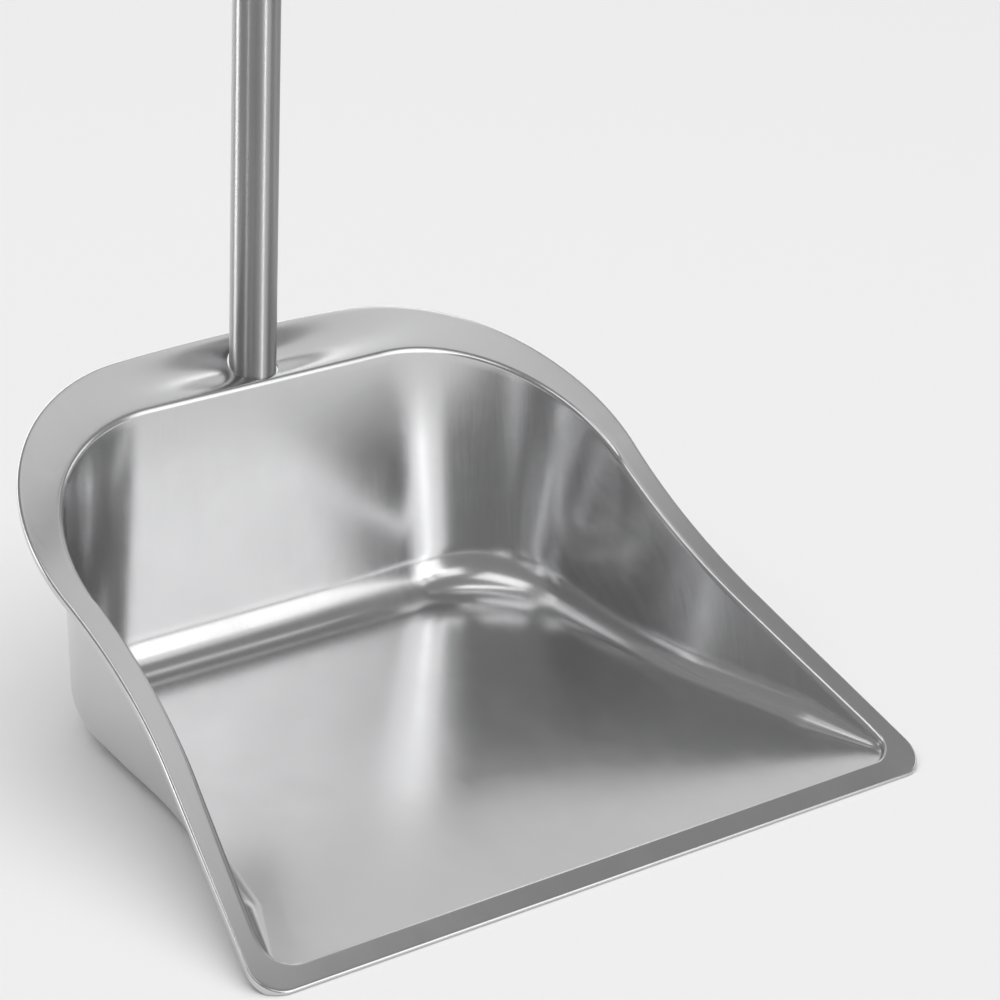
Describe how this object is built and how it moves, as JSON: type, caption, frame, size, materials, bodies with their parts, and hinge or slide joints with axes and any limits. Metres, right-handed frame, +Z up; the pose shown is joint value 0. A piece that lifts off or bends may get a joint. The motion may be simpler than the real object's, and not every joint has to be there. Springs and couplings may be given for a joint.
{
  "type": "long-handled dust pan",
  "caption": "Pressed stainless steel dust pan with a flanged rim and an upright round tube handle screwed together in sections, with a grip and a hanging loop.",
  "frame": {"origin": "on the floor, in the middle of the footprint: half-way between the front lip and the back of the rim, on the centre line", "axes": "+Z up along the handle, -Y out of the pan's mouth (the front lip), +X to the right seen from the mouth looking towards the handle"},
  "size_m": [0.305, 0.264, 0.85],
  "materials": {
    "pan_steel": "satin pressed stainless sheet, bright along the bends",
    "bracket_steel": "plain stainless sheet, dull",
    "tube_steel": "polished stainless tube, mirror bright with fine lengthwise lines",
    "fixing_steel": "zinc-plated turned steel",
    "plug_nylon": "natural nylon, matte",
    "grip_rubber": "soft rubber, matte",
    "cap_plastic": "moulded plastic, fine matte grain"
  },
  "bodies": {
    "pan": {"pan_shell": "pan_steel", "foot_bracket": "bracket_steel", "tube_saddle": "bracket_steel", "foot_plug": "plug_nylon", "foot_washer": "fixing_steel", "foot_lock_washer": "fixing_steel", "foot_screw": "fixing_steel", "lower_tube": "tube_steel", "middle_tube": "tube_steel", "upper_tube": "tube_steel", "lower_joint_socket": "fixing_steel", "lower_joint_stud": "fixing_steel", "upper_joint_socket": "fixing_steel", "upper_joint_stud": "fixing_steel", "grip_ferrule": "tube_steel", "grip_sleeve": "grip_rubber", "end_cap": "cap_plastic"},
    "hang_loop": {"hang_loop": "tube_steel"}
  },
  "joints": [
    {"name": "loop_swing", "type": "hinge", "parent": "pan", "child": "hang_loop", "pos_m": [0, 0.1163, 0.84], "axis": [-1, 0, 0], "range_deg": [0, 325.9]}
  ]
}
